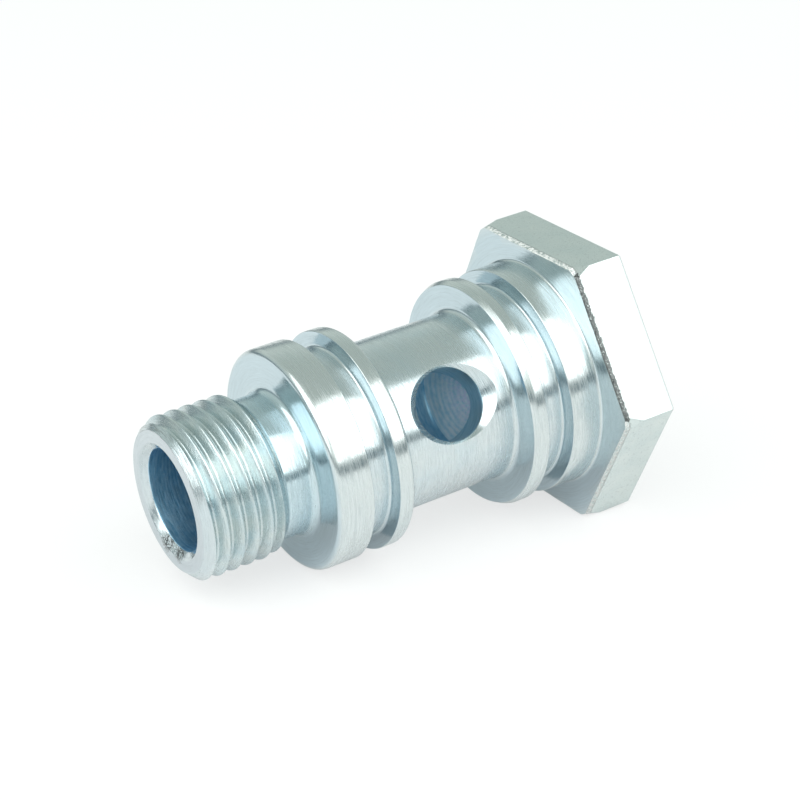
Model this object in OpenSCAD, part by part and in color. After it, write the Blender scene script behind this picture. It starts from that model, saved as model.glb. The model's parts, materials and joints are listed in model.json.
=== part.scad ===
// Banjo bolt: one turned and drilled piece of hexagon bar.
// It is drawn standing on its threaded end, z running up to the head,
// and laid down at the very end, resting on the head and the first collar.

/* [Threaded end] */
// Major diameter of the thread, over its crests
thread_d = 16; // [14.6:0.1:18]
// Distance from the end face to where the thread has run out
thread_l = 8.85; // [5:0.05:16]
// Diameter of the flat end face, inside the lead-in chamfer
end_face_d = 13.9; // [12.5:0.1:14.4]
// Diameter of the plain neck behind the thread
neck_d = 13.9; // [12.5:0.1:14.4]
// Length of the plain neck, up to the first collar
neck_l = 3.1; // [1.5:0.1:6]
// Fillet where the neck runs into the first collar
neck_fillet_r = 0.8; // [0.2:0.1:1.2]

/* [First collar] */
// Diameter of the first collar, next to the thread
collar_1_d = 21.9; // [20.4:0.1:22.8]
// Width of the land in front of the first groove
collar_1_front_w = 3.7; // [1.5:0.1:6]
// Width of the land behind the first groove
collar_1_rear_w = 1.7; // [1:0.1:4]
// Round edge that leads the first collar into its seat
collar_1_lead_r = 0.7; // [0.2:0.05:1]

/* [Waist] */
// Diameter of the waist between the collars
waist_d = 17; // [14.8:0.1:18]
// Length of the waist between the collars
waist_l = 13.15; // [10.5:0.05:20]
// Fillet at each end of the waist
waist_fillet_r = 0.6; // [0.2:0.1:1]

/* [Second collar] */
// Diameter of the second collar, next to the head
collar_2_d = 23; // [22:0.1:24.5]
// Width of the land in front of the second groove
collar_2_front_w = 1.65; // [1:0.05:4]
// Width of the land behind the second groove, up to the head
collar_2_rear_w = 3.35; // [2:0.05:6]
// Length of the chamfer that leads the second collar into its seat
collar_2_lead_l = 0.6; // [0.3:0.05:0.9]
// Height of the same chamfer, across the bolt
collar_2_lead_h = 0.3; // [0.1:0.05:0.6]
// Fillet between the second collar and the head
head_fillet_r = 0.3; // [0.1:0.05:0.8]

/* [Sealing ring grooves] */
// Width of each groove
groove_w = 2.75; // [1.8:0.05:3.6]
// Depth of each groove below its collar
groove_depth = 1.6; // [1:0.05:2.2]
// Round corner at the foot of each groove wall
groove_corner_r = 0.35; // [0.1:0.05:0.6]
// Broken edge at each mouth of a groove
groove_edge = 0.12; // [0.05:0.01:0.25]
// Round edge on the rear of the first collar
rear_edge_r = 0.45; // [0.1:0.05:0.8]

/* [Head] */
// Width of the hexagon across its flats
head_af = 27; // [25.6:0.1:32]
// Height of the head
head_h = 5.6; // [3:0.1:12]
// Length of the broken edge round the bearing face
head_edge_l = 0.45; // [0.1:0.05:0.8]
// Height of the same broken edge, across the bolt
head_edge_h = 0.18; // [0.05:0.01:0.3]
// Depth to which each corner is turned back at the bearing face
corner_cut_h = 0.45; // [0.2:0.05:0.9]
// Length of the turned cut on each corner
corner_cut_l = 1.9; // [0.5:0.1:3]
// Depth of the small cut on each corner at the outer face
outer_cut_h = 0.1; // [0.05:0.05:0.8]
// Length of the small cut on each corner at the outer face
outer_cut_l = 0.1; // [0.05:0.05:0.8]

/* [Oil way] */
// Diameter of the blind bore along the bolt
bore_d = 10; // [6:0.1:11]
// Distance that the cross hole's edge lies short of the bore's full depth
bore_past_port = 0.6; // [0:0.1:5]
// Angle of the drill point that ends the bore
drill_point = 118; // [90:1:150]
// Diameter of the chamfer round the mouth of the bore
mouth_d = 11.7; // [11.2:0.1:12.4]
// Depth of the chamfer round the mouth of the bore
mouth_l = 0.5; // [0.2:0.05:1.5]
// Diameter of the cross hole in the waist
port_d = 7; // [4:0.1:8]
// Distance of the cross hole's centre past the middle of the waist
port_shift = 0.35; // [-1:0.05:1]
// Diameter of the countersink round the cross hole, on top of the waist
port_sink_d = 9.3; // [8.2:0.1:9.9]
// Angle of the cross hole past the middle of a flat of the head
port_turn = 1.6; // [-30:0.1:30]

/* [Hidden] */
$fn = 144;
// Small overlap that keeps a cut clear of the face it starts from
over = 0.5;

// Heights of the shoulders above the end face, up the bolt
collar_1_z = thread_l + neck_l;
groove_1_z = collar_1_z + collar_1_front_w;
waist_z = groove_1_z + groove_w + collar_1_rear_w;
collar_2_z = waist_z + waist_l;
groove_2_z = collar_2_z + collar_2_front_w;
head_z = groove_2_z + groove_w + collar_2_rear_w;
top_z = head_z + head_h;

// The cross hole and the bore that it meets
port_z = waist_z + waist_l / 2 + port_shift;
port_sink_h = (port_sink_d - port_d) / 2;
port_angle = 240 + port_turn;
bore_l = port_z + port_d / 2 + bore_past_port;
point_l = bore_d / 2 / tan(drill_point / 2);

// The hexagon
flat_r = head_af / 2;
corner_r = flat_r / cos(30);

// Half section of a plain length of the bolt
module turned(z0, z1, d) {
    translate([0, z0])
        square([d / 2, z1 - z0]);
}

// Section of a hollow round corner, for a fillet of radius r in the
// quarter named by the signs sx and sz, with its foot at [x, z]
module hollow_corner(x, z, r, sx, sz) {
    translate([x, z])
        scale_signs(sx, sz)
            difference() {
                square(r);
                translate([r, r])
                    circle(r);
            }
}

// Mirrors a section across its axes where a sign is negative
module scale_signs(sx, sz) {
    mirror([sx < 0 ? 1 : 0, 0])
        mirror([0, sz < 0 ? 1 : 0])
            children();
}

// Section that breaks an outer corner at [x, z] by w across and l along
module broken_corner(x, z, w, l, sz) {
    translate([x, z])
        scale_signs(1, sz)
            polygon([[-w, 0], [-w, -over], [over, -over], [over, l], [0, l]]);
}

// Section of the threaded end, from its lead-in chamfer to its run-out
module threaded_end() {
    end_r = end_face_d / 2;
    crest_r = thread_d / 2;
    neck_r = neck_d / 2;
    crest_z0 = crest_r - end_r;
    crest_z1 = thread_l - (crest_r - neck_r);
    polygon([[0, 0], [end_r, 0], [crest_r, crest_z0], [crest_r, crest_z1], [neck_r, thread_l], [0, thread_l]]);
}

// Section of a groove for a sealing ring, its front wall at z
module groove(z, d) {
    floor_r = d / 2 - groove_depth;
    difference() {
        translate([floor_r, z])
            square([groove_depth + over, groove_w]);
        hollow_corner(floor_r, z, groove_corner_r, 1, 1);
        hollow_corner(floor_r, z + groove_w, groove_corner_r, 1, -1);
    }
    broken_corner(d / 2, z, groove_edge, groove_edge, -1);
    broken_corner(d / 2, z + groove_w, groove_edge, groove_edge, 1);
}

// The round stock before the grooves and outer edges are cut
module blank_section() {
    threaded_end();
    turned(thread_l - over, collar_1_z + over, neck_d);
    turned(collar_1_z, waist_z, collar_1_d);
    turned(waist_z - over, collar_2_z + over, waist_d);
    turned(collar_2_z, head_z + over, collar_2_d);
    hollow_corner(neck_d / 2, collar_1_z, neck_fillet_r, 1, -1);
    hollow_corner(waist_d / 2, waist_z, waist_fillet_r, 1, 1);
    hollow_corner(waist_d / 2, collar_2_z, waist_fillet_r, 1, -1);
    hollow_corner(collar_2_d / 2, head_z, head_fillet_r, 1, -1);
}

// Everything that the turning tool takes off the outer corners
module turned_cuts() {
    hollow_corner(collar_1_d / 2, collar_1_z, collar_1_lead_r, -1, 1);
    hollow_corner(collar_1_d / 2, waist_z, rear_edge_r, -1, -1);
    broken_corner(collar_2_d / 2, collar_2_z, collar_2_lead_h, collar_2_lead_l, 1);
    groove(groove_1_z, collar_1_d);
    groove(groove_2_z, collar_2_d);
}

// Hexagon head with its corners turned back and its lower edges broken
module head() {
    difference() {
        intersection() {
            translate([0, 0, head_z])
                rotate(30)
                    cylinder(h = head_h, r = corner_r, $fn = 6);
            rotate_extrude()
                difference() {
                    turned(head_z, top_z, 2 * corner_r);
                    broken_corner(corner_r, head_z, corner_cut_h, corner_cut_l, 1);
                    broken_corner(corner_r, top_z, outer_cut_h, outer_cut_l, -1);
                }
        }
        for (i = [0:5])
            rotate(60 * i)
                rotate([90, 0, 0])
                    linear_extrude(head_af, center = true)
                        broken_corner(flat_r, head_z, head_edge_h, head_edge_l, 1);
    }
}

// Blind bore with its drill point and the chamfer at its mouth
module bore() {
    mouth_slope = (mouth_d - bore_d) / mouth_l;
    translate([0, 0, -over])
        cylinder(h = bore_l + over, d = bore_d);
    translate([0, 0, bore_l])
        cylinder(h = point_l, d1 = bore_d, d2 = 0);
    translate([0, 0, -over])
        cylinder(h = mouth_l + over, d1 = mouth_d + over * mouth_slope, d2 = bore_d);
}

// Cross hole with its countersink, from the axis out through the waist
module port() {
    sink_r = waist_d / 2 - port_sink_h;
    rotate(port_angle)
        translate([0, 0, port_z])
            rotate([0, 90, 0]) {
                cylinder(h = waist_d, d = port_d);
                translate([0, 0, sink_r])
                    cylinder(h = port_sink_h + over, d1 = port_d, d2 = port_sink_d + 2 * over);
            }
}

// The edges that can touch a flat surface below: [height, radius, roundness]
contacts = [
    [(thread_d - end_face_d) / 2, thread_d / 2, 0],
    [collar_1_z + collar_1_lead_r, collar_1_d / 2 - collar_1_lead_r, collar_1_lead_r],
    [collar_2_z + collar_2_lead_l, collar_2_d / 2, 0]
];
// The edge of the lowest flat that the head stands on
pivot_z = head_z + head_edge_l;

// Tilt at which the head and one such edge touch the surface together
function tilt_on(c) =
    acos(c[2] / norm([flat_r - c[1], pivot_z - c[0]])) - atan2(pivot_z - c[0], flat_r - c[1]);
tilt = min([for (c = contacts) tilt_on(c)]);

// Half way between the lowest and highest x of the tilted bolt
low_x = -end_face_d / 2 * sin(tilt);
high_x = top_z * cos(tilt) + flat_r * sin(tilt);

// Lays the standing bolt on its side, centred over the origin
module lay_down() {
    translate([-(low_x + high_x) / 2, 0, flat_r * cos(tilt) - pivot_z * sin(tilt)])
        rotate([0, 90 - tilt, 0])
            children();
}

module banjo_bolt() {
    color([0.74, 0.78, 0.78])
        lay_down()
            difference() {
                union() {
                    rotate_extrude()
                        difference() {
                            blank_section();
                            turned_cuts();
                        }
                    head();
                }
                bore();
                port();
            }
}

banjo_bolt();
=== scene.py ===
# %% [markdown]
# A banjo bolt lets oil flow through its own body. This lesson dresses one in
# Blender: it is turned, threaded, drilled and plated here in the same order
# as in a workshop. The frame comes from the construction model, so every
# size and place agrees with it, and the lesson only has to add the form and
# finish that the eye looks for.

# %% Load the construction model
import json
from math import acos, cos, degrees, pi, radians, sin, sqrt, tan, tau

import bmesh
import bpy
from mathutils import Matrix, Vector, noise


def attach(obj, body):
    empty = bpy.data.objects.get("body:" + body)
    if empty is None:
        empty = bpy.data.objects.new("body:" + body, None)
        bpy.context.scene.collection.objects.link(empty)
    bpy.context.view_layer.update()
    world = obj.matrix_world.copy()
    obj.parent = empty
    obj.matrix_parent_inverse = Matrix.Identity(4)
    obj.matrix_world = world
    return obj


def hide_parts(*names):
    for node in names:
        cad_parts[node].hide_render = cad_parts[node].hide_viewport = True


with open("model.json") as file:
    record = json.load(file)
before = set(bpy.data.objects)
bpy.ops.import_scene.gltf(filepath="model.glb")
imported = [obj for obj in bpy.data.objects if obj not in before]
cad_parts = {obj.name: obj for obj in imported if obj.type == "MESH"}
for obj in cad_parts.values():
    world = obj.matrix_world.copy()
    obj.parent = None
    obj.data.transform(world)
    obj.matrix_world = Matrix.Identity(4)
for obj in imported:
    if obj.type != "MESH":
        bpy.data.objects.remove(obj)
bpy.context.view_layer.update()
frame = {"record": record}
mm = 0.001
scene = bpy.context.scene

# %% [markdown]
# The bolt lies on one flat of its head and on its first collar, so its own
# axis climbs a little. Turning is easiest to describe standing up, with z
# running from the threaded end to the head. One matrix then lays the finished
# bolt down. Its direction is read from the mount of the oil bore, whose axis
# points out of the mouth, and its place from where that bore starts.

# %% Find the bolt's own axis
mounts = {mount["name"]: mount for mount in frame["record"]["mounts"]}
bore_mount = mounts["axial_port"]
bore_r = bore_mount["dims"]["r_mm"]
bore_wall = bore_mount["dims"]["length_mm"]
# In the construction model the bore's wall starts behind a short chamfer
mouth_l = 0.5
bore_l = mouth_l + bore_wall

along = -Vector(bore_mount["axis"])
bore_middle = Vector(bore_mount["pos_m"])
end_face = bore_middle - along * (mouth_l + bore_wall / 2) * mm
across = Vector((0, 1, 0))
downward = across.cross(along)
laid_down = Matrix((downward, across, along)).transposed().to_4x4()
laid_down.translation = end_face
upright = laid_down.inverted()
tilt = degrees(acos(along.x))
print("axis", [round(part, 4) for part in along], "tilt", round(tilt, 2), "degrees")

# %% [markdown]
# The camera comes first, because everything is judged through it. Its
# direction and distance were found by fitting the circles of the collars and
# the corners of the hexagon to the photograph.

# %% Set up the camera
camera_from_end = Vector((-76.71, -163.44, 89.95)) * mm
look_down = radians(23.99)
heading = radians(31.94)
roll = radians(-0.26)

camera = bpy.data.objects.new("camera", bpy.data.cameras.new("camera"))
scene.collection.objects.link(camera)
scene.camera = camera
camera.data.lens = 98.3
camera.data.sensor_width = 36
camera.data.clip_start = 0.01
camera.location = end_face + camera_from_end
turn = Matrix.Rotation(-heading, 4, "Z") @ Matrix.Rotation(pi / 2 - look_down, 4, "X")
camera.rotation_euler = (turn @ Matrix.Rotation(roll, 4, "Z")).to_euler()
print("camera stands", round(camera_from_end.length / mm), "mm from the end face")

# %% [markdown]
# Everything round on this bolt starts as a chain of edges: half of its
# section, from the axis out and back again. A few corner points give the
# form, and a bevel on a corner point rounds it. Spinning the chain makes the
# solid, which is how a lathe sees it too.

# %% Helpers for turning
STEPS = 240
ARC = 6
LONGEST_EDGE = 1.5
SAME_POINT = 1e-3


def chain(outline, segments=ARC):
    """A chain of edges through corners of (height, radius, rounding), in mm."""
    bm = bmesh.new()
    corners = [bm.verts.new((radius, 0, height)) for height, radius, _ in outline]
    for pair in zip(corners, corners[1:]):
        bm.edges.new(pair)
    for corner, (_, _, rounding) in zip(corners, outline):
        if rounding:
            bmesh.ops.bevel(
                bm, geom=[corner], offset=rounding, offset_type="OFFSET", segments=segments,
                profile=0.5, affect="VERTICES", material=-1, clamp_overlap=False,
            )
    return bm


def divide(bm):
    """Divides the long edges of a chain, so that no face gets too long."""
    for edge in bm.edges[:]:
        cuts = int(edge.calc_length() / LONGEST_EDGE)
        if cuts:
            bmesh.ops.subdivide_edges(bm, edges=[edge], cuts=cuts)


def spin(bm, climb=0.0, steps=STEPS):
    """Spins a chain about z. With a climb it makes a screw and not a ring."""
    bmesh.ops.spin(
        bm, geom=bm.verts[:] + bm.edges[:], cent=(0, 0, 0), axis=(0, 0, 1),
        dvec=(0, 0, climb / steps), angle=tau, steps=steps, use_merge=climb == 0,
    )
    bmesh.ops.remove_doubles(bm, verts=bm.verts[:], dist=SAME_POINT)


def finished(bm, name):
    """Turns a bmesh into an object, with its faces looking outwards."""
    bmesh.ops.recalc_face_normals(bm, faces=bm.faces[:])
    for face in bm.faces:
        face.smooth = True
    mesh = bpy.data.meshes.new(name)
    bm.to_mesh(mesh)
    bm.free()
    thing = bpy.data.objects.new(name, mesh)
    scene.collection.objects.link(thing)
    return thing


print("one turn takes", STEPS, "steps of", 360 / STEPS, "degrees")

# %% [markdown]
# The radii of the thread and the collars are read from the mounts. The other
# sizes repeat those of the construction model, as heights above the end face
# and distances from the axis. Only the chamfer at the mouth of the bore is a
# little narrower and longer here, as in the photograph.

# %% Sizes of the turned bolt
thread_r = mounts["thread"]["dims"]["r_mm"]
collar_1_r = mounts["seal_land_1"]["dims"]["r_mm"]
collar_2_r = mounts["seal_land_2"]["dims"]["r_mm"]
mouth_r = 5.75
end_face_r = 6.95
neck_r = 6.95
waist_r = 8.5
groove_depth = 1.6
head_af = 27
flat_r = head_af / 2
corner_r = flat_r / cos(radians(30))

chamfer_l = 0.6
thread_l = 8.85
collar_1_z = 11.95
groove_1_z = 15.65
groove_w = 2.75
waist_z = 20.1
collar_2_z = 33.25
groove_2_z = 34.9
head_z = 41.0
top_z = 46.6
drill_point = radians(118)
point_l = bore_r / tan(drill_point / 2)
print("the drill point is", round(point_l, 2), "mm deep")

# %% Sizes of its edges and corners
neck_fillet = 0.8
waist_fillet = 0.6
head_fillet = 0.3
rear_round = 0.45
groove_edge = 0.12
groove_corner = 0.35
# One collar is led into its seat by a round edge, the other by a chamfer
lead_round = 0.7
lead_h = 0.3
lead_l = 0.6
# The corners of the head are turned back, a lot below and a little on top
corner_cut_h = 0.45
corner_cut_l = 1.9
corner_slope = corner_cut_l / corner_cut_h
outer_cut = 0.1
print("the corners are turned back by 1 in", round(corner_slope, 1))

# %% [markdown]
# The blank is the whole bolt without its thread and its flats. Where those
# will be cut it is left proud, so that the tools have something to take off.
# Every corner gets a rounding, even where a drawing would show none: on real
# metal such an edge catches the light as a thin bright line.

# %% Turn the bolt from the bar
thread_spare = 0.3
head_spare = 0.2
proud_r = thread_r + thread_spare
proud_l = proud_r - end_face_r
blank_r = corner_r + head_spare


def groove(z, collar_r):
    """Corners of a ring groove, with how much each one is rounded."""
    floor_r = collar_r - groove_depth
    front = [(z, collar_r, groove_edge), (z, floor_r, groove_corner)]
    return front + [(z + groove_w, radius, rounding) for _, radius, rounding in front[::-1]]


# Each corner is its height, its radius and how far its rounding reaches
bm = chain([
    (bore_l + point_l, 0, 0),
    (bore_l, bore_r, 0.3),
    (chamfer_l, bore_r, 0.1),
    (0, mouth_r, 0.06),
    (0, end_face_r, 0.08),
    (proud_l, proud_r, 0),
    (thread_l - (proud_r - neck_r), proud_r, 0),
    (thread_l, neck_r, 0.1),
    (collar_1_z, neck_r, neck_fillet),
    (collar_1_z, collar_1_r, lead_round),
    *groove(groove_1_z, collar_1_r),
    (waist_z, collar_1_r, rear_round),
    (waist_z, waist_r, waist_fillet),
    (collar_2_z, waist_r, waist_fillet),
    (collar_2_z, collar_2_r - lead_h, 0.05),
    (collar_2_z + lead_l, collar_2_r, 0.08),
    *groove(groove_2_z, collar_2_r),
    (head_z, collar_2_r, head_fillet),
    (head_z, corner_r - corner_cut_h, 0),
    (head_z + corner_slope * (corner_cut_h + head_spare), blank_r, 0),
    (top_z - outer_cut - head_spare, blank_r, 0),
    (top_z, corner_r - outer_cut, 0),
    (top_z, 0, 0),
])
divide(bm)
print(len(bm.edges), "edges in the half section")
spin(bm)
bolt = finished(bm, "banjo_bolt_plated")

# %% [markdown]
# A thread is a small profile that climbs as it goes round. Spin does this when
# it is given a step along the axis: after one full turn, each tooth has moved
# up to where the next one was, so the turns join. The screw gets a wide body
# above the thread, and what it shares with the turned blank is the threaded
# bolt. The ends of the thread then look as they do on a real one, where the
# lead-in chamfer and the run-out cut across the last turns.

# %% Sizes of the thread
pitch = 1.5
# The crests of a real thread stay a little under its nominal size
crest_gap = 0.05
thread_depth = 0.92
crest_r = thread_r - crest_gap
root_r = crest_r - thread_depth
# Height of one crest where the spin starts, as the photograph shows it
crest_z = 2.455
turns_below = 4
turns = 8
# The flanks stand at 60 degrees to each other
flank_w = (crest_r - root_r) * tan(radians(60 / 2))
crest_half = pitch / 16
root_half = pitch / 2 - flank_w - crest_half
first_root = crest_z - pitch / 2 - turns_below * pitch
last_root = first_root + turns * pitch
print("flanks", round(flank_w, 3), "mm, roots", round(2 * root_half, 3), "mm wide")

# %% Form the screw
CREST_ROUND = 0.08
ROOT_ROUND = 0.11
THREAD_ARC = 3

tooth = []
for base in [first_root + number * pitch for number in range(turns)]:
    tooth += [
        (base, root_r, 0),
        (base + root_half, root_r, ROOT_ROUND),
        (base + root_half + flank_w, crest_r, CREST_ROUND),
        (base + pitch - root_half - flank_w, crest_r, CREST_ROUND),
        (base + pitch - root_half, root_r, ROOT_ROUND),
    ]
# The wide wall has a point at every pitch too, or its two ends would not join
wide_r = 2 * corner_r
wall_pitches = int((top_z - last_root) / pitch) + 2
wall = [(last_root + step * pitch, wide_r, 0) for step in range(wall_pitches)]
wall_top = wall[-1][0]
bm = chain(
    [(first_root, 0, 0), *tooth, (last_root, root_r, 0), *wall, (wall_top, 0, 0)],
    segments=THREAD_ARC,
)
spin(bm, climb=pitch)
open_edges = [edge for edge in bm.edges if edge.is_boundary]
filled = bmesh.ops.holes_fill(bm, edges=open_edges, sides=0)
bmesh.ops.triangulate(bm, faces=filled["faces"])
print("the screw has", sum(edge.is_boundary for edge in bm.edges), "open edges left")
screw = finished(bm, "screw")


# %% Cut the thread
def combine(target, tool, operation):
    """Runs a Boolean modifier at once and throws the tool away."""
    modifier = target.modifiers.new("cut", "BOOLEAN")
    modifier.object = tool
    modifier.operation = operation
    modifier.solver = "EXACT"
    result = target.evaluated_get(bpy.context.evaluated_depsgraph_get())
    mesh = bpy.data.meshes.new_from_object(result)
    target.modifiers.clear()
    old = target.data
    target.data = mesh
    bpy.data.meshes.remove(old)
    bpy.data.objects.remove(tool)
    print(operation.lower(), "leaves", len(mesh.polygons), "faces")


combine(bolt, screw, "INTERSECT")

# %% [markdown]
# The hexagon is what is left of the bar. Where the tool faced the head it broke
# the six edges and pushed up a small ragged burr. So the tool that cuts the
# hexagon here has a short taper at that height, and a noise moves the upper line
# of the taper up and down along each side. Extrude builds it: one ring of edges
# is raised again and again, and scaled where the taper is. It starts below the
# bolt and ends above it, because a Boolean loses faces that lie in one plane.

# %% Sizes of the hexagon
break_l = 0.45
break_h = 0.18
outer_break = 0.12
past_the_bolt = 5
SIDE_CUTS = 90
BURR = 0.16
# Each taper is twice as deep at its narrow end as at the face that it breaks
narrow = (flat_r - 2 * break_h) / flat_r
narrow_top = (flat_r - 2 * outer_break) / flat_r
right_flat = Vector((cos(radians(240)), sin(radians(240)), 0))
print("the hexagon is", round(2 * corner_r, 2), "mm across its corners")


# %% Mill the hexagon
def raise_ring(bm, edges, height, scale=1.0):
    """Extrudes a ring of edges up to a height and scales it about the axis."""
    raised = bmesh.ops.extrude_edge_only(bm, edges=edges)["geom"]
    verts = [part for part in raised if isinstance(part, bmesh.types.BMVert)]
    for vert in verts:
        vert.co = (vert.co.x * scale, vert.co.y * scale, height)
    return verts, [part for part in raised if isinstance(part, bmesh.types.BMEdge)]


bm = bmesh.new()
below = Matrix.Translation((0, 0, -past_the_bolt))
bmesh.ops.create_circle(bm, segments=6, radius=corner_r * narrow, matrix=below)
bmesh.ops.subdivide_edges(bm, edges=bm.edges[:], cuts=SIDE_CUTS)
_, ring = raise_ring(bm, bm.edges[:], head_z - break_l)
upper_line, ring = raise_ring(bm, ring, head_z + break_l, 1 / narrow)
for vert in upper_line:
    # Two sizes of noise, a coarse one and a finer and weaker one
    coarse = vert.co * 1.1
    ragged = noise.noise(coarse) + 0.6 * noise.noise(coarse * 3.3)
    on_right = vert.co.dot(right_flat) > flat_r - 0.1
    vert.co.z += BURR * ragged - (BURR if on_right else 0)
_, ring = raise_ring(bm, ring, top_z - outer_break)
_, ring = raise_ring(bm, ring, top_z + outer_break, narrow_top)
raise_ring(bm, ring, top_z + past_the_bolt)
open_edges = [edge for edge in bm.edges if edge.is_boundary]
bmesh.ops.holes_fill(bm, edges=open_edges, sides=0)
hexagon = finished(bm, "hexagon")
combine(bolt, hexagon, "INTERSECT")

# %% [markdown]
# Oil leaves the bore through one cross hole with a countersink. Its drill is a
# chain spun round the z axis, like the bolt, and then turned to the direction
# of the mount in the construction model. A Boolean difference cuts it out.

# %% Drill the cross hole
port = mounts["cross_port"]
port_r = port["dims"]["r_mm"]
port_axis = laid_down.to_3x3().inverted() @ Vector(port["axis"])
port_z = (upright @ Vector(port["pos_m"])).z / mm
sink_d = 9.3
sink_h = sink_d / 2 - port_r
DRILL_STEPS = 160

bm = chain([
    (0, 0, 0),
    (0, port_r, 0),
    (waist_r - sink_h, port_r, 0.12),
    (waist_r + sink_h, port_r + 2 * sink_h, 0),
    (waist_r + sink_h, 0, 0),
])
divide(bm)
spin(bm, steps=DRILL_STEPS)
aim = port_axis.to_track_quat("Z", "Y").to_matrix()
bmesh.ops.rotate(bm, verts=bm.verts[:], matrix=aim)
bmesh.ops.translate(bm, verts=bm.verts[:], vec=(0, 0, port_z))
drill = finished(bm, "drill")
combine(bolt, drill, "DIFFERENCE")

# %% [markdown]
# Where two curved surfaces meet at a low angle, as at the run-out of the
# thread, a Boolean can leave points a hair apart, and a gap between them.
# Points closer together than a thousandth of a millimetre become one, and the
# slivers that this leaves without any area are dissolved.

# %% Close the hairline gaps
bm = bmesh.new()
bm.from_mesh(bolt.data)
bmesh.ops.remove_doubles(bm, verts=bm.verts[:], dist=SAME_POINT)
bmesh.ops.dissolve_degenerate(bm, dist=SAME_POINT, edges=bm.edges[:])
print("the bolt has", sum(not edge.is_manifold for edge in bm.edges), "open edges left")
bm.to_mesh(bolt.data)
bm.free()

# %% [markdown]
# Each kind of surface gets its own finish: what the lathe turned, the flats of
# the bar, and the drilled oil way. While the bolt still stands upright, each
# face can tell which kind it is from its place and the way it looks. How much
# a face looks along the axis goes into an attribute, because the plating turns
# bluer on such faces.

# %% Sort the faces by how they were made
TURNED, THREAD, BAR, BORE, POINT, PORT = range(6)
mesh = bolt.data


def kind_of(face):
    """Tells how the tool made this face, while the bolt stands upright.

    Each limit leaves a few hundredths of a millimetre to spare, because the
    middle of a face lies a little off the round surface that it belongs to.
    """
    centre = face.center
    radius = sqrt(centre.x ** 2 + centre.y ** 2)
    from_port = centre - Vector((0, 0, port_z))
    depth = from_port.dot(port_axis)
    beside = (from_port - port_axis * depth).length
    if bore_l < centre.z < bore_l + point_l and radius < bore_r + 0.02:
        return POINT
    if mouth_l + 0.05 < centre.z < bore_l + 0.01 and radius < bore_r + 0.02:
        return BORE
    if 0 < depth < waist_r - sink_h + 0.03 and beside < port_r + 0.05:
        return PORT
    if centre.z < thread_l and neck_r + 0.03 < radius < end_face_r + centre.z - 0.04:
        return THREAD
    if centre.z > head_z + 0.02 and radius > flat_r - 0.3 and abs(face.normal.z) < 0.9:
        return BAR
    return TURNED


kinds = [kind_of(face) for face in mesh.polygons]
faced = mesh.attributes.new("faced", "FLOAT", "CORNER")
faced.data.foreach_set("value", [abs(normal.vector.z) for normal in mesh.corner_normals])
print("faces of each kind:", [kinds.count(kind) for kind in range(6)])

# %% [markdown]
# Now the bolt is laid down by moving its mesh, and its object stays at the
# origin. Edges sharper than 28 degrees stay crisp, and weighted normals keep the
# flat faces flat right up to their small round corners.

# %% Lay the bolt down
SHARP = radians(28)
mesh.transform(laid_down @ Matrix.Scale(mm, 4))
mesh.polygons.foreach_set("use_smooth", [True] * len(mesh.polygons))
mesh.set_sharp_from_angle(angle=SHARP)
weighted = bolt.modifiers.new("flat faces stay flat", "WEIGHTED_NORMAL")
weighted.keep_sharp = True
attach(bolt, "root")
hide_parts("banjo_bolt")
print("the bolt has", sum(len(face.vertices) - 2 for face in mesh.polygons), "triangles")

# %% [markdown]
# A material is a tree of nodes, and building one in code is mostly a matter of
# feeding sockets. These helpers take a socket or a plain value alike, so that
# a mask can be written as the sum or product that it is.

# %% Helpers to add and feed nodes
def feed(tree, socket, value):
    """Feeds an input from another node's socket, or sets it to a value."""
    if isinstance(value, bpy.types.NodeSocket):
        tree.links.new(value, socket)
    elif value is not None:
        socket.default_value = value


def add(tree, kind, **values):
    """Adds a node and sets its properties, or feeds its inputs by name."""
    node = tree.nodes.new(kind)
    for name, value in values.items():
        if hasattr(node, name):
            setattr(node, name, value)
        else:
            feed(tree, node.inputs[name.replace("_", " ")], value)
    return node


# %% Helpers for masks and colours
def calculate(tree, operation, *values):
    """A Math node; each value is a socket or a number."""
    node = add(tree, "ShaderNodeMath", operation=operation)
    for socket, value in zip(node.inputs, values):
        feed(tree, socket, value)
    return node.outputs["Value"]


def product(tree, result, *others):
    """Multiplies sockets and numbers, one after the other."""
    for other in others:
        result = calculate(tree, "MULTIPLY", result, other)
    return result


def total(tree, result, *others):
    """Adds sockets and numbers, one after the other."""
    for other in others:
        result = calculate(tree, "ADD", result, other)
    return result


def ramp(tree, value, low, high, to_low=0.0, to_high=1.0):
    """Maps a value from one range to another, without going past its ends."""
    node = add(
        tree, "ShaderNodeMapRange", Value=value,
        From_Min=low, From_Max=high, To_Min=to_low, To_Max=to_high,
    )
    return node.outputs["Result"]


def mix_colours(tree, factor, first, second):
    """A Mix node for colours; each input is a socket or a value."""
    node = add(tree, "ShaderNodeMix", data_type="RGBA")
    # The node lists its sockets for numbers and vectors between these three
    for place, value in ((0, factor), (6, first), (7, second)):
        feed(tree, node.inputs[place], value)
    return node.outputs[2]


# %% [markdown]
# Two effects turn up on more than one finish: the marks of a tool, and the
# plating. So each is a node group, which is built once and then placed in
# every material that needs it, with values of its own.

# %% Helper for node groups
def new_group(name, inputs, outputs):
    """Starts a node group; its inputs are (name, type, value)."""
    tree = bpy.data.node_groups.new(name, "ShaderNodeTree")
    for socket, kind, value in inputs:
        made = tree.interface.new_socket(socket, in_out="INPUT", socket_type=kind)
        if value is not None:
            made.default_value = value
    for socket in outputs:
        tree.interface.new_socket(socket, in_out="OUTPUT", socket_type="NodeSocketFloat")
    return tree, tree.nodes.new("NodeGroupInput"), tree.nodes.new("NodeGroupOutput")


# %% [markdown]
# A tool that cuts round the bolt leaves long thin lines. They are noise in
# four dimensions here. Three of them go slowly round the axis and the fourth
# runs along the section, so the lines have no seam.

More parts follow.
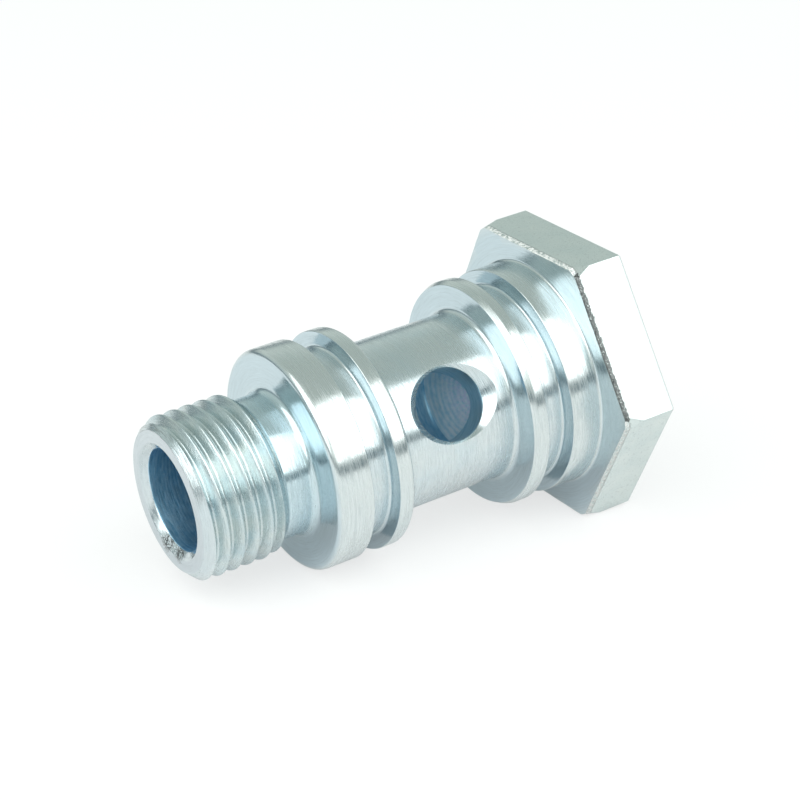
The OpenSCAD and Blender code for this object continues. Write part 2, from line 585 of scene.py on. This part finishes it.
# %% Group for the marks of a tool
tool_marks, given, out = new_group(
    "tool marks",
    [
        ("Path", "NodeSocketFloat", 0.0),
        ("Around", "NodeSocketVector", None),
        ("Spacing", "NodeSocketFloat", 0.2),
    ],
    ["Height", "Tone"],
)
tree = tool_marks
steps = calculate(tree, "DIVIDE", given.outputs["Path"], given.outputs["Spacing"])


def streaks(times_round, fineness, detail):
    """Noise that is stretched round the axis, and fine along the path."""
    around = add(
        tree, "ShaderNodeVectorMath", operation="SCALE",
        Vector=given.outputs["Around"], Scale=times_round,
    )
    node = add(
        tree, "ShaderNodeTexNoise", noise_dimensions="4D",
        Vector=around.outputs["Vector"], W=product(tree, steps, fineness),
        Scale=1.0, Detail=detail, Roughness=0.6,
    )
    return node.outputs["Fac"]


lines = streaks(1.5, 1.0, detail=3)
dashes = streaks(6.0, 1.2, detail=1)
broad = streaks(0.8, 0.12, detail=2)
height = total(tree, lines, product(tree, dashes, 0.5), product(tree, broad, 1.5))
tone = total(tree, product(tree, lines, 0.5), product(tree, dashes, 0.5))
feed(tree, out.inputs["Height"], height)
feed(tree, out.inputs["Tone"], ramp(tree, tone, 0.36, 0.64))
print(tool_marks.name, "has", len(tree.nodes), "nodes")

# %% [markdown]
# The plating is a thin layer of zinc, with faint clouds, small specks and a
# fine grain, and with chips where a burr broke off. Each is noise of its own
# size. Grain and chips go out as they are, and a finish makes its own masks
# of them.

# %% Group for the plating
zinc_plating, given, out = new_group(
    "zinc plating",
    [("Place", "NodeSocketVector", None), ("Cloud Size", "NodeSocketFloat", 4.0)],
    ["Cloud", "Specks", "Grain", "Chips"],
)
tree = zinc_plating


def mottle(scale, detail, roughness):
    """Noise all through the metal, with so many lumps to a millimetre."""
    node = add(
        tree, "ShaderNodeTexNoise", Vector=given.outputs["Place"],
        Scale=scale, Detail=detail, Roughness=roughness,
    )
    return node.outputs["Fac"]


cloud = mottle(calculate(tree, "DIVIDE", 1.0, given.outputs["Cloud Size"]), 4, 0.6)
speck = mottle(2.6, 3, 0.8)
feed(tree, out.inputs["Cloud"], ramp(tree, cloud, 0.35, 0.65))
feed(tree, out.inputs["Specks"], ramp(tree, speck, 0.66, 0.74))
feed(tree, out.inputs["Grain"], mottle(9.0, 3, 0.7))
feed(tree, out.inputs["Chips"], mottle(3.4, 2, 0.7))
print(zinc_plating.name, "has", len(tree.nodes), "nodes")

# %% [markdown]
# A material measures from the bolt's own axis. The Mapping node turns object
# coordinates back to the standing bolt, in millimetres, so z is the height and
# the distance from the z axis is the radius. Going along the section, both
# change, so their sum is a path that suits cylinders, shoulders and fillets.
# The radius counts for more, or the two would cancel out on a chamfer.
# A turned metal also stretches its reflections across the tool lines. For that
# the shader needs the direction of the lines: round the axis, at a right angle
# to both the axis and the way to the point.

# %% How a metal finds its place on the bolt
WHITE = (1, 1, 1, 1)
RADIUS_WEIGHT = 1.37
QUARTER_TURN = 0.25


class Steel:
    """A steel whose nodes know where each point lies on the standing bolt."""

    def __init__(self, name, roughness, anisotropic=0.0, metallic=1.0, edge_tint=WHITE):
        self.material = bpy.data.materials.new(name)
        self.material.use_nodes = True
        self.tree = tree = self.material.node_tree
        self.shader = tree.nodes["Principled BSDF"]
        self.shader.inputs["Metallic"].default_value = metallic
        self.shader.inputs["Roughness"].default_value = roughness
        self.shader.inputs["Specular Tint"].default_value = edge_tint
        self.where = add(tree, "ShaderNodeTexCoord").outputs["Object"]
        standing = add(
            tree, "ShaderNodeMapping", vector_type="POINT", Vector=self.where,
            Location=upright.translation / mm, Rotation=upright.to_euler(),
            Scale=(1 / mm, 1 / mm, 1 / mm),
        )
        self.place = standing.outputs["Vector"]
        outward = self.vector("MULTIPLY", self.place, (1, 1, 0))
        self.around = self.vector("NORMALIZE", outward)
        self.radius = self.vector("LENGTH", outward)
        parts = add(tree, "ShaderNodeSeparateXYZ", Vector=self.place).outputs
        self.height = parts["Z"]
        self.lower = parts["X"]
        self.path = total(tree, self.height, product(tree, self.radius, RADIUS_WEIGHT))
        if anisotropic:
            self.follow_rings(anisotropic)

    def vector(self, operation, first, second=None):
        """A Vector Math node; gives its number where that is what it makes."""
        node = add(self.tree, "ShaderNodeVectorMath", operation=operation)
        for socket, value in zip(node.inputs, (first, second)):
            feed(self.tree, socket, value)
        is_number = operation in ("LENGTH", "DISTANCE", "DOT_PRODUCT")
        return node.outputs["Value" if is_number else "Vector"]

    def follow_rings(self, anisotropic):
        """Gives the shader the direction that runs round the bolt's axis."""
        self.shader.inputs["Anisotropic"].default_value = anisotropic
        self.shader.inputs["Anisotropic Rotation"].default_value = QUARTER_TURN
        from_end = self.vector("SUBTRACT", self.where, end_face)
        rings = self.vector("CROSS_PRODUCT", along, from_end)
        feed(self.tree, self.shader.inputs["Tangent"], self.vector("NORMALIZE", rings))


# %% [markdown]
# A finish also has the marks of its tool and of the plating, and its colour is
# laid on coat by coat. Each coat has a mask, which says where it goes, and the
# last one that covers a point is the one that shows. Roughness and relief
# come last, from the same marks.

# %% What a finish is made of
SOFT_EDGE = 0.15


class Finish(Steel):
    """A plated steel with its colour, roughness and relief."""

    def tool_lines(self, spacing):
        """The marks of a tool that ran round the axis, so far apart in mm."""
        node = add(
            self.tree, "ShaderNodeGroup", node_tree=tool_marks,
            Path=self.path, Around=self.around, Spacing=spacing,
        )
        return node.outputs

    def zinc(self, cloud_size):
        """The marks of the plating, with clouds of this size in mm."""
        node = add(
            self.tree, "ShaderNodeGroup", node_tree=zinc_plating,
            Place=self.place, Cloud_Size=cloud_size,
        )
        return node.outputs

    def near(self, point, reach, ragged):
        """A mask of the surface near a point of the standing bolt."""
        distance = total(self.tree, self.vector("DISTANCE", self.place, point), ragged)
        return ramp(self.tree, distance, reach - SOFT_EDGE, reach + SOFT_EDGE, 1, 0)

    def start_with(self, mask, first, second):
        """Starts the colour of the metal with a mix of two."""
        self.colour = mix_colours(self.tree, mask, first, second)
        feed(self.tree, self.shader.inputs["Base Color"], self.colour)

    def paint(self, mask, colour):
        """Lays a colour over what is there, as far as the mask says."""
        self.start_with(mask, self.colour, colour)

    def rough(self, value, low, high, to_low, to_high):
        """Lets the roughness follow a value."""
        roughness = ramp(self.tree, value, low, high, to_low, to_high)
        feed(self.tree, self.shader.inputs["Roughness"], roughness)

    def relief(self, height, depth):
        """Turns a height between 0 and 1 into relief of this depth, in mm."""
        node = add(self.tree, "ShaderNodeBump", Distance=depth * mm, Height=height)
        feed(self.tree, self.shader.inputs["Normal"], node.outputs["Normal"])
        print(self.material.name, "has", len(self.tree.nodes), "nodes")


# %% [markdown]
# The turned finish covers most of the bolt. The plating is a pale blue grey,
# bluer on faces that look along the axis, and the tool lines darken it a
# little. Heights and radii in the masks are in mm, as on a drawing.

# %% Colour the turned surfaces
DULL_ZINC = (0.67, 0.755, 0.785, 1)
LIGHT_ZINC = (0.72, 0.77, 0.775, 1)
PALE_COLLAR = (0.745, 0.785, 0.775, 1)
END_FACE = (0.66, 0.71, 0.745, 1)
SHOULDER = (0.615, 0.72, 0.77, 1)
NECK_SHADE = (0.60, 0.745, 0.80, 1)
TOOL_LINE = (0.30, 0.36, 0.37, 1)

turned = Finish("turned and plated", 0.24, anisotropic=0.72)
tree = turned.tree
marks = turned.tool_lines(0.16)
zinc = turned.zinc(5.0)
turned.start_with(zinc["Cloud"], DULL_ZINC, LIGHT_ZINC)
on_collars = ramp(tree, turned.radius, 10.0, 10.8, 0, 0.7)
turned.paint(on_collars, PALE_COLLAR)

looks_along = add(tree, "ShaderNodeAttribute", attribute_name="faced").outputs["Fac"]
facing = ramp(tree, looks_along, 0.6, 1.0)
past_end_face = ramp(tree, turned.height, 1.0, 3.0)
turned.paint(facing, mix_colours(tree, past_end_face, END_FACE, SHOULDER))

# The neck, recessed just behind the thread, is painted a darker blue: painted shade
neck_z = (thread_l + collar_1_z) / 2
from_neck = calculate(tree, "ABSOLUTE", calculate(tree, "SUBTRACT", turned.height, neck_z))
beside_neck = ramp(tree, from_neck, 1.5, 2.5, 1, 0)
near_axis = ramp(tree, turned.radius, 7.0, 7.6, 0.8, 0)
turned.paint(product(tree, beside_neck, near_axis), NECK_SHADE)
turned.paint(product(tree, marks["Tone"], 0.22), TOOL_LINE)
print("the middle of the blue neck is", round(neck_z, 2), "mm from the end face")

# %% [markdown]
# Two burrs at the mouth, where the drill broke through, and some torn rings
# low on the lead-in chamfer are marks of this very bolt. So each one has its
# own place. The noise in their masks keeps their outlines ragged.

# %% Add the burrs and the torn rings
DARK_BURR = (0.10, 0.11, 0.11, 1)
DARK_TEAR = (0.22, 0.24, 0.23, 1)
burr_spots = [(5.15, 1.75, 0.25), (5.2, -0.55, 0.3)]
# The ragged noise takes about a millimetre off this
burr_reach = 1.85

ragged = product(tree, zinc["Chips"], 2.0)
spots = [turned.near(spot, burr_reach, ragged) for spot in burr_spots]
burr = calculate(tree, "MAXIMUM", *spots)
mottled = ramp(tree, total(tree, zinc["Grain"], zinc["Chips"]), 0.92, 1.02)
turned.paint(product(tree, burr, mottled), DARK_BURR)

at_the_end = ramp(tree, turned.height, 1.0, 1.3, 1, 0)
past_the_face = ramp(tree, turned.radius, 6.8, 7.0)
on_top = ramp(tree, turned.lower, -4.5, -1.5, 1, 0)
lead_in = product(tree, at_the_end, past_the_face, on_top)
torn = product(tree, ramp(tree, marks["Tone"], 0.45, 0.75), lead_in, 0.5)
turned.paint(torn, DARK_TEAR)
print(len(burr_spots), "burrs at the mouth of the bore")

# %% [markdown]
# The tool lines also change the roughness, so the edge of each highlight gets
# drawn out into streaks. Faces that look along the axis were cut more finely.
# The relief is only a few thousandths of a millimetre deep, but stands up
# higher where the burrs and the torn rings are.

# %% Sheen and relief of the turned surfaces
smoother = calculate(tree, "SUBTRACT", marks["Tone"], product(tree, facing, 0.6))
turned.rough(smoother, -0.6, 1, 0.03, 0.36)
cut = product(tree, marks["Height"], ramp(tree, lead_in, 0, 1, 1, 4))
rise = product(tree, zinc["Grain"], burr, 12)
turned.relief(total(tree, cut, rise), depth=0.0065)

# %% [markdown]
# A thread is cut in several passes, so its flanks are a little rougher than
# the collars, with coarser lines and more contrast in the plating.

# %% The finish of the thread
DULL_FLANK = (0.60, 0.71, 0.745, 1)
LIGHT_FLANK = (0.69, 0.75, 0.745, 1)
FLANK_LINE = (0.30, 0.37, 0.38, 1)

thread = Finish("threaded", 0.3, anisotropic=0.5)
tree = thread.tree
marks = thread.tool_lines(0.22)
zinc = thread.zinc(3.0)
thread.start_with(zinc["Cloud"], DULL_FLANK, LIGHT_FLANK)
thread.paint(product(tree, marks["Tone"], 0.3), FLANK_LINE)
thread.rough(marks["Tone"], 0, 1, 0.2, 0.32)
chipped = product(tree, zinc["Chips"], 1.5)
thread.relief(total(tree, marks["Height"], chipped), depth=0.012)

# %% [markdown]
# The flats of the hexagon were never turned: they are the skin of the drawn
# bar, with a fine even grain in place of rings. Their edge at the bearing face
# carries the burr. On the flat to the right the burr is painted as a thin line
# of shade, and on the other flats it is a row of crumbs painted white as a
# glint. The crumbs scatter light more than bare metal does, so they are made
# less metallic.

# %% Colour the bar, and paint a glint on its crumbs
DULL_BAR = (0.69, 0.76, 0.75, 1)
LIGHT_BAR = (0.76, 0.81, 0.79, 1)
BAR_GRAIN = (0.48, 0.54, 0.54, 1)
CRUMB_GLINT = (0.97, 0.97, 0.95, 1)

bar = Finish("plated bar", 0.3)
tree = bar.tree
zinc = bar.zinc(3.0)
bar.start_with(zinc["Cloud"], DULL_BAR, LIGHT_BAR)
bar.paint(product(tree, zinc["Grain"], 0.3), BAR_GRAIN)

outward = bar.vector("DOT_PRODUCT", bar.place, right_flat)
on_right = ramp(tree, outward, flat_r - 0.3, flat_r - 0.2)
elsewhere = calculate(tree, "SUBTRACT", 1, on_right)
at_edge = ramp(tree, bar.height, head_z + 0.42, head_z + 0.55, 1, 0)
torn_edge = product(tree, at_edge, elsewhere)
crumbs_and_glint = product(tree, torn_edge, ramp(tree, zinc["Chips"], 0.46, 0.52))
# The crumbs are painted nearly white, as a painted glint
bar.paint(crumbs_and_glint, CRUMB_GLINT)
feed(tree, bar.shader.inputs["Metallic"], ramp(tree, crumbs_and_glint, 0, 1, 1, 0.3))
print("the flats lie", flat_r, "mm from the axis")

# %% Paint shade on the burr and the rim, and add the relief
BURR_SHADE = (0.08, 0.085, 0.085, 1)
RIM_SHADE = (0.40, 0.44, 0.44, 1)
SPECK = (0.36, 0.39, 0.39, 1)

wavy = calculate(tree, "SUBTRACT", bar.height, product(tree, zinc["Chips"], 0.5))
low_down = ramp(tree, wavy, head_z + 0.2, head_z + 0.26, 1, 0)
broken_up = ramp(tree, zinc["Grain"], 0.32, 0.44)
# On the right flat the burr is a thin line of painted shade
bar.paint(product(tree, broken_up, low_down, on_right, 0.95), BURR_SHADE)
at_rim = ramp(tree, bar.height, top_z - 0.3, top_z - 0.2)
# A band of painted shade along the top rim of the right flat
bar.paint(product(tree, at_rim, on_right, 0.8), RIM_SHADE)
bar.paint(ramp(tree, zinc["Chips"], 0.60, 0.66, 0, 0.35), SPECK)

bar.rough(zinc["Grain"], 0.3, 0.7, 0.24, 0.4)
crumbly = total(tree, product(tree, zinc["Chips"], 18), product(tree, zinc["Grain"], 3))
torn_up = product(tree, crumbly, torn_edge)
bar.relief(total(tree, zinc["Grain"], torn_up), depth=0.012)

# %% [markdown]
# The oil way is drilled. A twist drill leaves rings as it feeds, so a sine
# along the path is mixed with the tool marks. The deep bore is painted a
# darker blue than the outside, as painted shade, and the wall of the cross
# hole a little darker too. The cone that the drill's point left is painted
# pale and made nearly matt, as painted light for what falls in through the
# cross hole, and it has lilac blotches round its middle.

# %% Helper for the oil way
LILAC = (0.93, 0.86, 1.0, 1)
PALE_SPECK = (0.70, 0.765, 0.775, 1)
drill_feed = 0.35


def drilled_finish(name, dark, light, edge_tint, roughness, depth, metallic=1.0, rings=0.12):
    """Metal where a drill has run, from a dark colour to a light one."""
    drilled = Finish(name, roughness, metallic=metallic, edge_tint=edge_tint)
    tree = drilled.tree
    marks = drilled.tool_lines(0.3)
    zinc = drilled.zinc(2.0)
    turning = product(tree, drilled.path, tau / drill_feed)
    wander = product(tree, marks["Height"], 3.0)
    wave = calculate(tree, "SINE", total(tree, turning, wander))
    tone = total(tree, marks["Tone"], product(tree, wave, rings))
    drilled.start_with(ramp(tree, tone, 0.0, 1.0), dark, light)
    near_axis = ramp(tree, drilled.radius, 1.2, 3.4, 0.8, 0)
    drilled.paint(product(tree, ramp(tree, zinc["Chips"], 0.40, 0.54), near_axis), LILAC)
    drilled.paint(product(tree, zinc["Specks"], 0.6), PALE_SPECK)
    drilled.relief(total(tree, marks["Height"], product(tree, zinc["Grain"], 0.4)), depth)
    return drilled


# %% Finish the oil way, and give each kind of face its material
# Painted shade: the bore is coloured darker and bluer than the outside
bore = drilled_finish(
    "drilled bore", dark=(0.27, 0.53, 0.70, 1), light=(0.52, 0.74, 0.87, 1),
    edge_tint=(0.5, 0.78, 1, 1), roughness=0.4, depth=0.025,
)
# Painted light: the cone is pale and nearly matt, for the light through the cross hole
point = drilled_finish(
    "drill point", dark=(0.60, 0.80, 0.88, 1), light=(0.95, 1.0, 1.0, 1),
    edge_tint=(0.8, 0.92, 1, 1), roughness=0.5, depth=0.04, metallic=0.1, rings=0.3,
)
# Painted shade: the wall of the cross hole is a little darker than the outside
port_wall = drilled_finish(
    "cross drilled", dark=(0.46, 0.62, 0.66, 1), light=(0.66, 0.80, 0.83, 1),
    edge_tint=(0.7, 0.85, 1, 1), roughness=0.36, depth=0.02, metallic=0.9,
)
# In the order of the kinds, from TURNED to PORT
for metal in (turned, thread, bar, bore, point, port_wall):
    mesh.materials.append(metal.material)
mesh.polygons.foreach_set("material_index", kinds)
print("materials:", [material.name for material in mesh.materials])

# %% [markdown]
# The bolt is a mirror, more or less, so its light is what it reflects: one
# large soft lamp to the left, one to the right, a darker gap between them where
# the camera stands, a grey room above and behind, and a white table.

# %% Light it
LAMP_DISTANCE = 0.7
LAMP_BRIGHTNESS = 1.65


def soft_lamp(name, azimuth, elevation, width, height):
    """A soft lamp that faces the bolt. Azimuth 0 is the front, 90 the right."""
    side, up = radians(azimuth), radians(elevation)
    towards = Vector((sin(side) * cos(up), -cos(side) * cos(up), sin(up)))
    data = bpy.data.lights.new(name, "AREA")
    data.shape = "RECTANGLE"
    data.size, data.size_y = width, height
    data.energy = LAMP_BRIGHTNESS * pi * width * height
    lamp = bpy.data.objects.new(name, data)
    scene.collection.objects.link(lamp)
    lamp.location = towards * LAMP_DISTANCE
    lamp.rotation_euler = towards.to_track_quat("Z", "Y").to_euler()
    print(name, "gives", round(data.energy, 2), "W")


soft_lamp("left lamp", azimuth=-70, elevation=43, width=0.98, height=0.78)
soft_lamp("right lamp", azimuth=26, elevation=40, width=0.62, height=0.72)

# %% Put a room around it
# How far up each tone of the room stands: 0 is level with the bolt, or below
# it, and 1 is straight up
walls = [
    (0.0, (0.16, 0.21, 0.23)),
    (0.1, (0.22, 0.28, 0.30)),
    (0.2, (0.54, 0.61, 0.59)),
    (0.3, (0.66, 0.74, 0.70)),
    (0.5, (0.59, 0.67, 0.64)),
    (0.75, (0.49, 0.57, 0.54)),
    (1.0, (0.47, 0.54, 0.51)),
]
world = bpy.data.worlds.new("studio")
scene.world = world
world.use_nodes = True
tree = world.node_tree
direction = add(tree, "ShaderNodeTexCoord").outputs["Generated"]
parts = add(tree, "ShaderNodeSeparateXYZ", Vector=direction).outputs
room = add(tree, "ShaderNodeValToRGB", Fac=parts["Z"])
while len(room.color_ramp.elements) < len(walls):
    room.color_ramp.elements.new(0.5)
for element, (position, tone) in zip(room.color_ramp.elements, walls):
    element.position = position
    element.color = (*tone, 1)
feed(tree, tree.nodes["Background"].inputs["Color"], room.outputs["Color"])
scene.view_settings.view_transform = "Standard"
print("the room has", len(room.color_ramp.elements), "tones")

# %% [markdown]
# The table has to look white to the camera without being a lamp for the bolt.
# So it glows on the rays that the camera sees it by, only faintly on those that
# the metal reflects, and on no others. In the metal it is a paler paper too. It
# stays matt, so that the bolt still drops a soft shadow on it.

# %% The white table
TABLE_R = 3
SEEN_GLOW = 0.66
MIRRORED_GLOW = 0.2
GREY_PAPER = (0.34, 0.34, 0.34, 1)
MIRRORED_PAPER = (0.71, 0.705, 0.71, 1)

bm = bmesh.new()
bmesh.ops.create_circle(bm, cap_ends=True, segments=96, radius=TABLE_R)
table = finished(bm, "table")
paper = bpy.data.materials.new("white paper")
paper.use_nodes = True
tree = paper.node_tree
tree.nodes.clear()
rays = add(tree, "ShaderNodeLightPath").outputs
mirrored = rays["Is Glossy Ray"]
seen = calculate(tree, "MAXIMUM", rays["Is Camera Ray"], rays["Is Transmission Ray"])
seen_glow = product(tree, seen, SEEN_GLOW)
strength = calculate(tree, "MAXIMUM", seen_glow, product(tree, mirrored, MIRRORED_GLOW))
glow = add(tree, "ShaderNodeEmission", Strength=strength)
shade = mix_colours(tree, mirrored, GREY_PAPER, MIRRORED_PAPER)
matt = add(tree, "ShaderNodeBsdfDiffuse", Color=shade)
both = add(tree, "ShaderNodeAddShader")
feed(tree, both.inputs[0], glow.outputs["Emission"])
feed(tree, both.inputs[1], matt.outputs["BSDF"])
add(tree, "ShaderNodeOutputMaterial", Surface=both.outputs["Shader"])
table.data.materials.append(paper)
print("the table is", 2 * TABLE_R, "m across")
